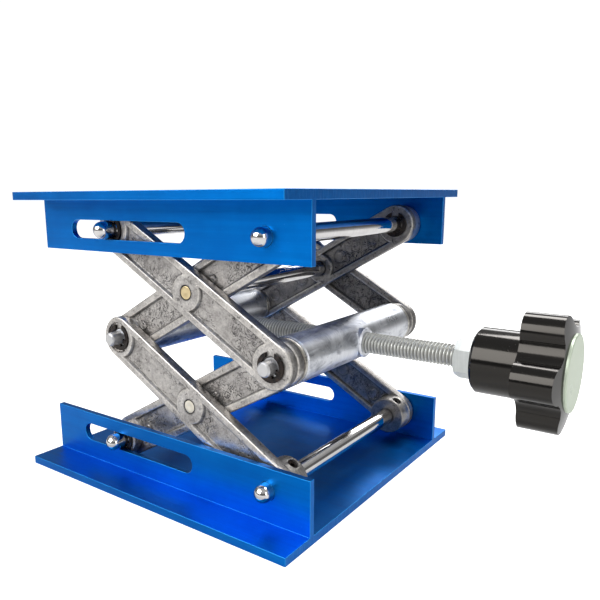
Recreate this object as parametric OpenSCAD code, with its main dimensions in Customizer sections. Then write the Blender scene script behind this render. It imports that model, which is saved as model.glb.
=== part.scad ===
// Scissor-lift support jack: two flanged platforms, eight cast arms and one screw with a star knob.
// Origin: centre of the base platform's underside. +X points to the knob, +Z points up. Millimetres.

/* [Platforms] */
// Length of both platforms, along the screw
platform_length = 100; // [96:1:120]
// Width of both platforms
platform_width = 100; // [96:1:120]
// Thickness of the platform sheet
platform_t = 2.4; // [1.5:0.1:3]
// Distance from the platform's edge to the flange's outer face
flange_inset = 10.6; // [9:0.1:14]
// Thickness of a flange
flange_t = 1.8; // [1.2:0.1:1.8]
// Height of a flange, platform sheet included
flange_h = 17.4; // [15:0.1:18]
// Height of the slot and of the fixed hole above the platform's outer face
pivot_h = 11; // [10:0.1:12]
// Place of the fixed hole along the platform
pivot_x = 36.7; // [34:0.1:40]
// Left end of the slot
slot_x0 = -36.6; // [-40:0.1:-34]
// Right end of the slot
slot_x1 = 10.6; // [8:0.1:12]
// Width of the slot
slot_w = 5.5; // [5.4:0.1:5.8]

/* [Scissor] */
// Arm length between its end holes
arm_length = 66; // [60:0.5:68]
// Arm angle above level
arm_angle = 29.35; // [26:0.05:34]
// Arm width, which is also the diameter of its bar end
arm_w = 12.5; // [12:0.1:13]
// Arm thickness
arm_t = 3; // [2.6:0.1:3]
// Width of the raised rim along both edges of an arm
arm_rim = 2.05; // [1.5:0.05:2.5]
// Depth of the cast pockets
pocket_d = 0.8; // [0.4:0.1:1]
// Radius of the thick boss round a fixed rod
boss_r = 6; // [5.5:0.1:6]
// Diameter of all the cross rods
rod_d = 5; // [4:0.1:5]

/* [Cross bars] */
// Diameter of the two cross bars
bar_d = 13; // [12:0.1:13]
// Diameter of the bar's pin beyond its bearing
bar_tip_d = 4; // [3.6:0.1:4]
// Distance from the middle plane to the bar's end face
bar_tip_y = 40.6; // [40:0.1:42]

/* [Screw and knob] */
// Thread's outer diameter
screw_d = 6; // [5.8:0.1:6.2]
// Distance from the left cross bar to the jam nut's face
nut_x = 91.7; // [88:0.1:94]
// Thickness of the jam nut
nut_t = 5.1; // [4:0.1:5.4]
// Width across the flats of the jam nut
nut_af = 10; // [10:0.1:10.5]
// Diameter of the knob's hub
hub_d = 17; // [15:0.5:18]
// Length of the knob's hub
hub_l = 12; // [10:0.1:15]
// Length of the star
star_l = 10.5; // [8:0.1:12]
// Number of lobes
lobes = 5; // [5:1:5]
// Radius of the circle through the lobes' centres
lobe_ring_r = 10.6; // [10:0.1:11]
// Radius of a lobe
lobe_r = 4.6; // [4.4:0.1:5]
// Radius of the circle that touches the valleys' floors
valley_r = 11; // [10.6:0.1:11.4]
// Angle of the first lobe from upright, towards the front
lobe_phase = 22; // [0:1:72]

/* [Hidden] */
$fn = 64;
eps = 0.5;                  // overshoot of a cutting tool
run = 0.05;                 // radial clearance of a running fit
rest = 0.1;                 // gap between faces that slide

slide_x = pivot_x - arm_length * cos(arm_angle);
mid_z = pivot_h + arm_length * sin(arm_angle);
top_pivot_z = 2 * mid_z - pivot_h;
total_h = top_pivot_z + pivot_h;
centre_x = (pivot_x + slide_x) / 2;
low_centre_z = (pivot_h + mid_z) / 2;
high_centre_z = (top_pivot_z + mid_z) / 2;

// Layers across the jack, as distances of their faces from the middle plane
flange_out = platform_width / 2 - flange_inset;
flange_in = flange_out - flange_t;
clip_t = 0.5;
outer_arm_out = flange_in - clip_t - rest;
outer_arm_in = outer_arm_out - arm_t;
inner_arm_out = outer_arm_in - rest;
inner_arm_in = inner_arm_out - arm_t;
washer_t = 0.9;
bar_half = inner_arm_in - washer_t - rest;

rod_r = rod_d / 2;
rod_end_y = flange_out + 1.6;   // where a rod's dome starts
dome_h = 2.3;
rivet_r = 2;                    // reduced end of a centre rod
clip_r = 4;
clip_wall = 1.2;
clip_gap = 2.6;
bar_r = bar_d / 2;
groove_d = 0.4;                 // depth of a clip's groove
spotface_r = 4.7;
spotface_d = 0.8;
bar_clip_t = 0.6;
grub_r = 1.5;
screw_r = screw_d / 2;
screw_tip_r = 2.2;
bar_flat = 5.4;                 // distance of a bar's flats from its axis
collar_r = 4.3;
collar_x = 7.2;                 // how far the collar's face stands from the bar's axis
knob_x = slide_x + nut_x + nut_t;
star_x = knob_x + hub_l;
face_x = star_x + star_l;
insert_r = 4.4;
star_r = lobe_ring_r + lobe_r;
star_drop = 1.2;                // how far the star's front falls back towards the lobes' tips
cap_r = 9.6;
cap_t = 1.4;

// ---- Helpers ----

// Everything inside, on the front side and mirrored to the rear side
module both_sides() {
    children();
    mirror([0, 1, 0]) children();
}

// Solid of revolution about a line parallel to Y at (x, z); the outline is [radius, distance along +Y]
module about_y(x, z, outline) {
    translate([x, 0, z]) rotate([-90, 0, 0]) rotate_extrude() polygon(outline);
}

// Solid of revolution about the screw's axis; the outline is [radius, x]
module about_screw(outline) {
    translate([0, 0, mid_z]) rotate([0, 90, 0]) rotate_extrude() polygon(outline);
}

// Plain ring about a line parallel to Y, from the distance y0 to y1 on both sides
module rings(x, z, r_out, r_in, y0, y1) {
    both_sides() about_y(x, z, [[r_in, y0], [r_out, y0], [r_out, y1], [r_in, y1]]);
}

// Half circle outline of a dome of height h on a rod of radius r, starting at the distance y0
function dome(r, y0, h) = let (big = (r * r + h * h) / (2 * h), a0 = asin(r / big))
    [for (i = [0:8]) let (a = a0 * (1 - i / 8)) [big * sin(a), y0 + h - big + big * cos(a)]];

// Snap ring: open at the top, with three inner fingers that grip a groove of radius r_in
module clip_outline(r_out, r_in) {
    difference() {
        circle(r = r_out);
        circle(r = r_out - clip_wall);
        translate([-clip_gap / 2, 0]) square([clip_gap, r_out + eps]);
    }
    for (a = [-30, -90, -150])
        rotate(a) translate([r_in, -0.55]) square([r_out - clip_wall / 2 - r_in, 1.1]);
}

// Snap rings on both sides of the jack, from the distance y0 to y0 + t
module clips(x, z, y0, t, r_out, r_in) {
    both_sides() translate([x, y0 + t, z]) rotate([90, 0, 0])
        linear_extrude(height = t) clip_outline(r_out, r_in);
}

// ---- Platforms ----

module flange() {
    translate([0, flange_out, 0]) rotate([90, 0, 0]) linear_extrude(height = flange_t)
        difference() {
            translate([-platform_length / 2, 0]) square([platform_length, flange_h]);
            translate([pivot_x, pivot_h]) circle(r = rod_r + run);
            for (x = [slot_x0 + slot_w / 2, slot_x1 - slot_w / 2])
                translate([x, pivot_h]) circle(d = slot_w);
            translate([slot_x0 + slot_w / 2, pivot_h - slot_w / 2])
                square([slot_x1 - slot_x0 - slot_w, slot_w]);
        }
}

module platform() {
    translate([-platform_length / 2, -platform_width / 2, 0])
        cube([platform_length, platform_width, platform_t]);
    both_sides() flange();
}

module base_plate() {
    color("royalblue") platform();
}

module top_plate() {
    color("royalblue") translate([0, 0, total_h]) mirror([0, 0, 1]) platform();
}

// ---- Arms ----
// An arm is drawn along +X from its platform end to its bar end, with its inner face at z = 0 and
// its outer face at z = arm_t, then turned into place.

module arm_outline() {
    circle(d = arm_w);
    translate([arm_length, 0]) circle(d = arm_w);
    translate([0, -arm_w / 2]) square([arm_length, arm_w]);
}

// The two cast pockets, which end on arcs round the three holes
module pockets() {
    difference() {
        translate([0, -arm_w / 2 + arm_rim]) square([arm_length, arm_w - 2 * arm_rim]);
        circle(r = boss_r);
        translate([arm_length / 2, 0]) circle(r = 5);
        translate([arm_length, 0]) circle(r = boss_r);
    }
}

// in_boss and out_boss thicken the platform end inwards and outwards; end_r is the hole there
module arm(in_boss, out_boss, out_boss_r, end_r, centre_r) {
    difference() {
        union() {
            linear_extrude(height = arm_t) arm_outline();
            if (in_boss > 0) translate([0, 0, -in_boss]) cylinder(r = boss_r, h = in_boss + arm_t / 2);
            if (out_boss > 0)
                translate([0, 0, arm_t / 2]) cylinder(r = out_boss_r, h = out_boss + arm_t / 2);
        }
        translate([0, 0, arm_t - pocket_d]) linear_extrude(height = arm_t) pockets();
        translate([0, 0, -arm_t + pocket_d]) linear_extrude(height = arm_t) pockets();
        translate([0, 0, -2 * arm_t]) cylinder(r = end_r, h = 5 * arm_t);
        translate([arm_length / 2, 0, -arm_t]) cylinder(r = centre_r, h = 3 * arm_t);
        translate([arm_length, 0, -arm_t]) cylinder(r = rod_r + run, h = 3 * arm_t);
    }
}

// Turns an arm into place: its platform end at (x, z), pointing at the angle a, inner face at y_in
module place_arm(x, z, a, y_in) {
    translate([x, -y_in, z]) rotate([90, 0, 0]) rotate([0, 0, a]) children();
}

// The spot face round the bar's pin, where its clip lies sunk in the arm
module sunk_end() {
    translate([arm_length, 0, arm_t - spotface_d]) cylinder(r = spotface_r, h = arm_t);
}

// The tapped hole for the grub screw, from the arm's top edge down to the rod
module grub_hole(angle, h) {
    rotate([0, 0, angle]) translate([0, 0, h]) rotate([0, 90, 0]) cylinder(r = grub_r, h = arm_w);
}

boss_in = 5.2;                              // how far the fixed boss stands inwards
boss_out = flange_in - outer_arm_out - rest;
grub_angle = -87;                           // seen along the arm, whose upper edge is its -Y side
grub_h = 2.4 - boss_in;

module lower_outer_arm() {
    place_arm(pivot_x, pivot_h, 180 - arm_angle, outer_arm_in) difference() {
        arm(boss_in, boss_out, 4.5, rod_r, rivet_r);
        sunk_end();
        grub_hole(grub_angle, grub_h);
    }
}

module lower_inner_arm() {
    place_arm(slide_x, pivot_h, arm_angle, inner_arm_in)
        arm(0, outer_arm_out - inner_arm_out, 5, rod_r, rod_r + run);
}

module upper_outer_arm() {
    place_arm(slide_x, top_pivot_z, -arm_angle, outer_arm_in)
        arm(0, 0, 0, rod_r, rivet_r);
}

module upper_inner_arm() {
    place_arm(pivot_x, top_pivot_z, 180 + arm_angle, inner_arm_in)
        arm(0, flange_in - inner_arm_out - rest, boss_r, rod_r, rod_r + run);
}

module lower_outer_arm_front() {
    color("darkgray") lower_outer_arm();
}

module lower_outer_arm_rear() {
    color("darkgray") mirror([0, 1, 0]) lower_outer_arm();
}

module lower_inner_arm_front() {
    color("gray") lower_inner_arm();
}

module lower_inner_arm_rear() {
    color("gray") mirror([0, 1, 0]) lower_inner_arm();
}

module upper_outer_arm_front() {
    color("darkgray") upper_outer_arm();
}

module upper_outer_arm_rear() {
    color("darkgray") mirror([0, 1, 0]) upper_outer_arm();
}

module upper_inner_arm_front() {
    color("gray") upper_inner_arm();
}

module upper_inner_arm_rear() {
    color("gray") mirror([0, 1, 0]) upper_inner_arm();
}

// ---- Rods ----

// One half of a rod with a domed end, and a groove for a clip from groove_y when that is over 0
module half_rod(x, z, groove_y) {
    groove = [[rod_r, groove_y], [rod_r - groove_d, groove_y],
        [rod_r - groove_d, groove_y + clip_t], [rod_r, groove_y + clip_t]];
    about_y(x, z, concat([[0, 0], [rod_r, 0]], groove_y > 0 ? groove : [], dome(rod_r, rod_end_y, dome_h)));
}

module rod(x, z, groove_y) {
    color("silver") both_sides() half_rod(x, z, groove_y);
}

// A rod whose reduced ends are riveted flush in the outer arms
module centre_rod(z) {
    color("silver") both_sides() about_y(centre_x, z, [[0, 0], [rod_r, 0],
        [rod_r, outer_arm_in - run], [rivet_r, outer_arm_in - run],
        [rivet_r, outer_arm_out - 0.2], [rivet_r - 0.2, outer_arm_out], [0, outer_arm_out]]);
}

module base_pivot_rod() {
    rod(pivot_x, pivot_h, 0);
}

module base_slide_rod() {
    rod(slide_x, pivot_h, outer_arm_out);
}

module lower_centre_rod() {
    centre_rod(low_centre_z);
}

module upper_centre_rod() {
    centre_rod(high_centre_z);
}

module top_slide_rod() {
    rod(slide_x, top_pivot_z, outer_arm_out);
}

module top_pivot_rod() {
    rod(pivot_x, top_pivot_z, inner_arm_in - clip_t);
}

// One grub screw in each lower outer arm, with a hexagon socket, its tip on the rod
module base_pivot_grub_screws() {
    color("dimgray") both_sides() place_arm(pivot_x, pivot_h, 180 - arm_angle, outer_arm_in)
        rotate([0, 0, grub_angle]) translate([rod_r, 0, grub_h]) rotate([0, 90, 0]) difference() {
            cylinder(r = grub_r, h = 2.9);
            translate([0, 0, 1.4]) cylinder(d = 1.7, h = 2, $fn = 6);
        }
}

module base_slide_clips() {
    color("dimgray") clips(slide_x, pivot_h, outer_arm_out, clip_t, clip_r, rod_r - groove_d);
}

module top_slide_clips() {
    color("dimgray") clips(slide_x, top_pivot_z, outer_arm_out, clip_t, clip_r, rod_r - groove_d);
}

module top_pivot_clips() {
    color("dimgray")
        clips(pivot_x, top_pivot_z, inner_arm_in - clip_t, clip_t, clip_r, rod_r - groove_d);
}

// ---- Cross bars ----

// Half of a cross bar: thick body, bearing, and a thinner pin with the groove of its clip
module half_bar(x, clip_y) {
    tip_r = bar_tip_d / 2;
    about_y(x, mid_z, [[0, 0], [bar_r, 0], [bar_r, bar_half - 0.6], [bar_r - 0.6, bar_half],
        [rod_r, bar_half], [rod_r, clip_y - 0.05], [tip_r, clip_y - 0.05],
        [tip_r, clip_y], [tip_r - groove_d, clip_y], [tip_r - groove_d, clip_y + bar_clip_t],
        [tip_r, clip_y + bar_clip_t], [tip_r, bar_tip_y - 0.4], [tip_r - 0.4, bar_tip_y], [0, bar_tip_y]]);
}

anchor_clip_y = outer_arm_out - spotface_d + rest;
nut_clip_y = outer_arm_out + rest;

// The left bar has a flat on both sides of the screw's tip, and a plain hole for it
module anchor_bar() {
    color("silver") difference() {
        both_sides() half_bar(slide_x, anchor_clip_y);
        for (side = [0, 180])
            translate([slide_x, 0, mid_z]) rotate([0, 90, side]) translate([0, 0, bar_flat])
                cylinder(r = 4.6, h = bar_r);
        translate([slide_x - bar_d, 0, mid_z]) rotate([0, 90, 0])
            cylinder(r = screw_tip_r + run, h = 2 * bar_d);
    }
}

// The right bar takes the thread and has a raised collar where the screw comes out
module nut_bar() {
    color("silver") difference() {
        union() {
            both_sides() half_bar(pivot_x, nut_clip_y);
            about_screw([[0, pivot_x], [collar_r, pivot_x], [collar_r, pivot_x + collar_x - 0.5],
                [collar_r - 0.5, pivot_x + collar_x], [0, pivot_x + collar_x]]);
        }
        translate([pivot_x - bar_d, 0, mid_z]) rotate([0, 90, 0])
            cylinder(r = screw_r + run, h = 2 * bar_d);
    }
}

module anchor_bar_washers() {
    color("gainsboro") rings(slide_x, mid_z, bar_r - 0.1, rod_r, bar_half, bar_half + washer_t);
}

module nut_bar_washers() {
    color("gainsboro") rings(pivot_x, mid_z, bar_r - 0.1, rod_r, bar_half, bar_half + washer_t);
}

module anchor_bar_clips() {
    color("dimgray")
        clips(slide_x, mid_z, anchor_clip_y, bar_clip_t, clip_r, bar_tip_d / 2 - groove_d);
}

module nut_bar_clips() {
    color("dimgray")
        clips(pivot_x, mid_z, nut_clip_y, bar_clip_t, clip_r, bar_tip_d / 2 - groove_d);
}

// ---- Screw and knob ----

thrust_x = slide_x + bar_flat + rest;       // where the thrust washer starts
thrust_t = 0.6;
lock_x = slide_x - bar_flat - rest;         // where the lock ring starts, going left
lock_t = 0.6;

// The threaded part is drawn at the thread's outer diameter
module lead_screw() {
    color("gainsboro") about_screw([[0, lock_x - lock_t - 1], [screw_tip_r - 0.4, lock_x - lock_t - 1],
        [screw_tip_r, lock_x - lock_t - 0.6], [screw_tip_r, lock_x - lock_t],
        [screw_tip_r - groove_d, lock_x - lock_t], [screw_tip_r - groove_d, lock_x],
        [screw_tip_r, lock_x], [screw_tip_r, thrust_x + thrust_t],
        [screw_r, thrust_x + thrust_t], [screw_r, star_x], [0, star_x]]);
}

module screw_thrust_washer() {
    color("silver") about_screw([[screw_tip_r, thrust_x], [4.4, thrust_x],
        [4.4, thrust_x + thrust_t], [screw_tip_r, thrust_x + thrust_t]]);
}

module screw_lock_ring() {
    color("dimgray") translate([lock_x - lock_t, 0, mid_z]) rotate([90, 0, 90])
        linear_extrude(height = lock_t) clip_outline(3.8, screw_tip_r - groove_d);
}

// Hexagon nut with both rims turned to a chamfer
module jam_nut() {
    x0 = slide_x + nut_x;
    big_r = nut_af / sqrt(3);
    color("gainsboro") difference() {
        intersection() {
            translate([x0, 0, mid_z]) rotate([0, 90, 0]) cylinder(r = big_r, h = nut_t, $fn = 6);
            about_screw([[0, x0], [nut_af / 2, x0], [big_r, x0 + 0.5],
                [big_r, x0 + nut_t - 0.5], [nut_af / 2, x0 + nut_t], [0, x0 + nut_t]]);
        }
        translate([x0 - eps, 0, mid_z]) rotate([0, 90, 0]) cylinder(r = screw_r, h = nut_t + 2 * eps);
    }
}

// The valley circle between two lobes touches both lobes and the valleys' floor
function valley_ring_r() = let (c = lobe_ring_r, k = valley_r - lobe_r)
    (c * c - k * k) / (2 * (c * cos(180 / lobes) - k));

// Five round lobes joined by round valleys
module star_outline() {
    ring = valley_ring_r();
    step = 360 / lobes;
    difference() {
        union() {
            circle(r = valley_r - 0.5);
            polygon([for (i = [0:lobes - 1]) for (s = [-0.5, 0, 0.5])
                let (r = s == 0 ? lobe_ring_r : ring * 0.82) r * [cos((i + s) * step), sin((i + s) * step)]]);
            for (i = [0:lobes - 1]) rotate(i * step) translate([lobe_ring_r, 0]) circle(r = lobe_r);
        }
        for (i = [0:lobes - 1]) rotate((i + 0.5) * step) translate([ring, 0])
            circle(r = ring - valley_r);
    }
}

module knob() {
    color("black") difference() {
        union() {
            about_screw([[0, knob_x], [hub_d / 2 - 0.8, knob_x], [hub_d / 2, knob_x + 0.8],
                [hub_d / 2, star_x + 1], [0, star_x + 1]]);
            intersection() {
                translate([star_x, 0, mid_z]) rotate([90, 0, 90])
                    linear_extrude(height = star_l) rotate(90 + lobe_phase) star_outline();
                about_screw([[0, star_x], [star_r, star_x], [star_r, face_x - star_drop],
                    [cap_r, face_x], [0, face_x]]);
            }
        }
        about_screw([[0, knob_x - eps], [insert_r, knob_x - eps], [insert_r, star_x], [0, star_x]]);
        about_screw([[0, face_x - cap_t / 2], [cap_r, face_x - cap_t / 2],
            [cap_r, face_x + eps], [0, face_x + eps]]);
    }
}

module knob_insert() {
    color("goldenrod") about_screw([[screw_r, knob_x], [insert_r, knob_x], [insert_r, star_x],
        [screw_r, star_x]]);
}

module knob_cap() {
    color("whitesmoke") about_screw([[0, face_x - cap_t / 2], [cap_r, face_x - cap_t / 2],
        [cap_r, face_x + cap_t / 2 - 0.2], [cap_r - 0.2, face_x + cap_t / 2], [0, face_x + cap_t / 2]]);
}

base_plate();
top_plate();
lower_outer_arm_front();
lower_outer_arm_rear();
lower_inner_arm_front();
lower_inner_arm_rear();
upper_outer_arm_front();
upper_outer_arm_rear();
upper_inner_arm_front();
upper_inner_arm_rear();
base_pivot_rod();
base_slide_rod();
lower_centre_rod();
upper_centre_rod();
top_slide_rod();
top_pivot_rod();
base_pivot_grub_screws();
base_slide_clips();
top_slide_clips();
top_pivot_clips();
anchor_bar();
anchor_bar_washers();
anchor_bar_clips();
nut_bar();
nut_bar_washers();
nut_bar_clips();
lead_screw();
screw_thrust_washer();
screw_lock_ring();
jam_nut();
knob();
knob_insert();
knob_cap();
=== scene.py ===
"""The looks of a scissor lab jack: blue platforms, cast arms, chromed rods and a screw with a star knob."""
import math
import random

import bmesh
import bpy
from mathutils import Matrix, Vector, noise
from mathutils.geometry import delaunay_2d_cdt


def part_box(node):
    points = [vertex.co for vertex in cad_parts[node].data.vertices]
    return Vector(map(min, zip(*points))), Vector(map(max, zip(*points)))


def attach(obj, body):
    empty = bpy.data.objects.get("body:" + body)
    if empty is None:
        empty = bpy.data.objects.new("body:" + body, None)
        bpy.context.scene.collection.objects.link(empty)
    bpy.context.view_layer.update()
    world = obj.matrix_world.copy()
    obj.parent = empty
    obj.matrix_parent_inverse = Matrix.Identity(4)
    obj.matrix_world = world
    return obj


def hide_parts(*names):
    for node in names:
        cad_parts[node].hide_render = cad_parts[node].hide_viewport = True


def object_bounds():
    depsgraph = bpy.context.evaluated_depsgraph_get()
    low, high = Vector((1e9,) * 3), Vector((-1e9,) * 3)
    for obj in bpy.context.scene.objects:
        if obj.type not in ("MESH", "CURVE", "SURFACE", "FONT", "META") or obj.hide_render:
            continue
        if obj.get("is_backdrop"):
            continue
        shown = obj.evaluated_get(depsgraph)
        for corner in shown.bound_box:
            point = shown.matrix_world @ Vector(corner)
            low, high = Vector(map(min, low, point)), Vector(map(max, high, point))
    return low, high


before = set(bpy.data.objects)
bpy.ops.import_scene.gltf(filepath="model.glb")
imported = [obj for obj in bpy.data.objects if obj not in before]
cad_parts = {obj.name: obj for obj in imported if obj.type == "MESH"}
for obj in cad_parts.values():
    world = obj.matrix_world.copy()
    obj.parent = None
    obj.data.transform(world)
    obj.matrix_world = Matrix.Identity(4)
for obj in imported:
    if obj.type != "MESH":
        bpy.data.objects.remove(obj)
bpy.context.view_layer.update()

MM = 0.001
X_AXIS, Y_AXIS = 0, 1
UNITS = (Vector((1, 0, 0)), Vector((0, 1, 0)), Vector((0, 0, 1)))


# ---- Places and sizes that are read from the frame ----

def centre(node):
    low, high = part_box(node)
    return (low + high) / 2


BASE_PIVOT = centre("base_pivot_rod")
BASE_SLIDE = centre("base_slide_rod")
TOP_PIVOT = centre("top_pivot_rod")
TOP_SLIDE = centre("top_slide_rod")
ANCHOR = centre("anchor_bar_washers")
SCREW_Z = ANCHOR.z
THREAD_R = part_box("lead_screw")[1].z - SCREW_Z

# The arms: length between end axes, tilt, thickness, and their faces' distances from the middle plane
ARM_L = (ANCHOR - BASE_PIVOT).length
TILT = math.atan2(ANCHOR.z - BASE_PIVOT.z, BASE_PIVOT.x - ANCHOR.x)
OUTER_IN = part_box("upper_outer_arm_rear")[0].y
OUTER_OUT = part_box("upper_outer_arm_rear")[1].y
ARM_T = OUTER_OUT - OUTER_IN
INNER_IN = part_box("lower_inner_arm_rear")[0].y


# ---- Material helpers ----

class Nodes:
    """A node tree, with short ways to add and join nodes."""

    def __init__(self, tree):
        self.tree = tree

    def node(self, kind, **values):
        made = self.tree.nodes.new(kind)
        for key, value in values.items():
            setattr(made, key, value)
        return made

    def link(self, a, b):
        self.tree.links.new(a, b)

    def put(self, socket, value):
        """Links a socket, or sets a plain value."""
        if isinstance(value, bpy.types.NodeSocket):
            self.link(value, socket)
        else:
            socket.default_value = value


class Shader(Nodes):
    """A Principled material under construction."""

    def __init__(self, name, **values):
        self.mat = bpy.data.materials.new(name)
        self.mat.use_nodes = True
        super().__init__(self.mat.node_tree)
        self.bsdf = self.tree.nodes["Principled BSDF"]
        for key, value in values.items():
            self.bsdf.inputs[key.replace("_", " ")].default_value = value
        self.coords = self.node("ShaderNodeTexCoord")

    def place(self, scale=(1, 1, 1), turn=(0, 0, 0)):
        """Object coordinates, turned and stretched."""
        m = self.node("ShaderNodeMapping")
        self.link(self.coords.outputs["Object"], m.inputs["Vector"])
        m.inputs["Scale"].default_value = scale
        m.inputs["Rotation"].default_value = turn
        return m.outputs[0]

    def axes(self, source="Object"):
        """The x, y and z sockets of a coordinate."""
        split = self.node("ShaderNodeSeparateXYZ")
        self.link(self.coords.outputs[source], split.inputs[0])
        return split.outputs

    def screw_radius(self):
        """Distance from the screw's axis."""
        _, y, z = self.axes()
        up = self.math("SUBTRACT", z, SCREW_Z)
        return self.math("SQRT", self.add(self.math("POWER", y, 2.0), self.math("POWER", up, 2.0)))

    def noise(self, scale, detail=3.0, rough=0.5, vector=None, distort=0.0):
        n = self.node("ShaderNodeTexNoise")
        self.link(vector or self.place(), n.inputs["Vector"])
        n.inputs["Scale"].default_value = scale
        n.inputs["Detail"].default_value = detail
        n.inputs["Roughness"].default_value = rough
        n.inputs["Distortion"].default_value = distort
        return n.outputs["Fac"]

    def math(self, op, a, b=0.0, clamp=False):
        n = self.node("ShaderNodeMath", operation=op, use_clamp=clamp)
        self.put(n.inputs[0], a)
        self.put(n.inputs[1], b)
        return n.outputs[0]

    def add(self, a, b, clamp=False):
        return self.math("ADD", a, b, clamp)

    def mul(self, a, b):
        return self.math("MULTIPLY", a, b)

    def span(self, value, a, b, c=0.0, d=1.0):
        """value from a..b carried to c..d, held at the ends."""
        n = self.node("ShaderNodeMapRange", clamp=True)
        for i, v in enumerate((value, a, b, c, d)):
            self.put(n.inputs[i], v)
        return n.outputs[0]

    def mix(self, fac, a, b):
        n = self.node("ShaderNodeMix", data_type="RGBA")
        self.put(n.inputs[0], fac)
        self.put(n.inputs[6], a)
        self.put(n.inputs[7], b)
        return n.outputs[2]

    def attribute(self, name):
        return self.node("ShaderNodeAttribute", attribute_name=name).outputs["Fac"]

    def bump(self, height, distance, strength=1.0, under=None):
        n = self.node("ShaderNodeBump")
        n.inputs["Strength"].default_value = strength
        n.inputs["Distance"].default_value = distance
        self.link(height, n.inputs["Height"])
        if under:
            self.link(under, n.inputs["Normal"])
        return n.outputs[0]

    def finish(self, color, rough, metal=None, normal=None):
        sockets = {"Base Color": color, "Roughness": rough, "Metallic": metal, "Normal": normal}
        for key, value in sockets.items():
            if value is not None:
                self.put(self.bsdf.inputs[key], value)
        return self.mat


def rgb(*display):
    """Display colour 0..255 to the linear colour that shaders take."""
    shares = [v / 255 for v in display]
    linear = [v / 12.92 if v <= 0.04045 else ((v + 0.055) / 1.055) ** 2.4 for v in shares]
    return (*linear, 1.0)


# ---- Materials ----
# Noise scales are cells per metre. A span picks the part of a noise that shows, and what it turns into.

def anodised_blue(name, deep, bright, rough):
    """Dyed anodised extrusion: fine die lines along X, cloudy dye and slanted saw marks on the cut ends."""
    s = Shader(name, Metallic=0.97, Specular_IOR_Level=0.30)
    cloud = s.noise(48, detail=4, rough=0.6)
    die_lines = s.noise(900, detail=2, rough=0.6, vector=s.place((0.03, 1, 1)))
    tone = s.add(s.span(cloud, 0.3, 0.7, 0.15, 0.65), s.span(die_lines, 0.3, 0.7, -0.10, 0.25))
    color = s.mix(tone, deep, bright)
    cut_end = s.span(s.math("ABSOLUTE", s.axes("Normal")[0]), 0.85, 0.95)
    saw_marks = s.noise(2300, detail=1, rough=0.5, vector=s.place((1, 1, 0.10), turn=(0.5, 0, 0)))
    color = s.mix(s.mul(cut_end, s.span(saw_marks, 0.52, 0.64, 0.05, 0.32)), color, rgb(60, 140, 225))
    speck = s.span(s.noise(1800, detail=2), 0.70, 0.76)
    color = s.mix(s.mul(speck, 0.22), color, rgb(90, 160, 230))
    haze = s.noise(140, detail=5, rough=0.65)
    dull = s.add(s.span(haze, 0.3, 0.75, rough, rough + 0.10), s.span(die_lines, 0.35, 0.7, 0.0, 0.05))
    grain = s.bump(s.noise(4200, detail=2), 0.012 * MM, 0.5)
    relief = s.add(s.mul(die_lines, 0.6), s.mul(s.mul(saw_marks, cut_end), 1.6))
    return s.finish(color, dull, normal=s.bump(relief, 0.02 * MM, 0.6, grain))


def cast_metal(name, light, dark, dark_dirt_and_shade):
    """Tumbled die casting: mottled skin, curled flow marks, dirt and painted shade along the pocket walls,
    worn rims, and painted shade on the inner faces.
    The masks pocket, inside, grime and worn are painted on the arms' vertices: inside is painted shade, and
    grime is dirt with painted shade."""
    s = Shader(name, Specular_IOR_Level=0.5)
    place = s.place()
    mottle = s.noise(420, detail=6, rough=0.72, vector=place, distort=0.6)
    patch = s.noise(110, detail=3, rough=0.55, vector=place, distort=0.3)
    fine = s.noise(1900, detail=4, rough=0.65, vector=place)
    tone = s.add(s.span(mottle, 0.34, 0.66, 0.10, 0.56), s.span(patch, 0.35, 0.65, 0.0, 0.30))
    tone = s.add(tone, s.span(fine, 0.36, 0.64, -0.10, 0.20), clamp=True)
    color = s.mix(tone, dark, light)
    color = s.mix(s.mul(s.attribute("pocket"), 0.22), color, dark)
    # Painted shade: the inner faces are darkened half way to a dark grey.
    color = s.mix(s.mul(s.attribute("inside"), 0.50), color, rgb(58, 56, 56))

    flow = s.noise(230, detail=3, rough=0.6, vector=place, distort=3.2)
    curl = s.span(s.math("ABSOLUTE", s.math("SUBTRACT", flow, 0.5)), 0.008, 0.034, 1.0, 0.0)
    curl_areas = s.span(s.noise(75, detail=2, rough=0.5, vector=place), 0.43, 0.52)
    curl = s.mul(curl, s.mul(curl_areas, s.attribute("pocket")))
    pit = s.span(s.noise(900, detail=2, rough=0.5, vector=place), 0.64, 0.70)
    dirt = s.math("MAXIMUM", s.mul(curl, 0.88), s.mul(pit, 0.55))
    color = s.mix(dirt, color, dark_dirt_and_shade)

    uneven = s.span(s.noise(500, detail=4, rough=0.6, vector=place), 0.30, 0.62, 0.55, 1.0)
    # Dirt and painted shade: darker, duller and less metallic along the pocket walls, round the bores and
    # round the marks.
    grime_and_shade = s.mul(s.attribute("grime_and_shade"), uneven)
    color = s.mix(s.mul(grime_and_shade, 0.95), color, dark_dirt_and_shade)
    worn = s.mul(s.attribute("worn"), s.span(fine, 0.35, 0.65, 0.3, 0.9))
    color = s.mix(worn, color, rgb(222, 217, 209))

    dull = s.add(s.span(mottle, 0.3, 0.7, 0.25, 0.44), s.mul(grime_and_shade, 0.25))
    metal = s.span(grime_and_shade, 0.0, 1.0, 0.90, 0.3)
    skin = s.bump(fine, 0.04 * MM, 0.7)
    dents = s.bump(s.math("SUBTRACT", mottle, s.mul(dirt, 0.7)), 0.18 * MM, 0.65, skin)
    return s.finish(color, dull, metal, dents)


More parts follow.
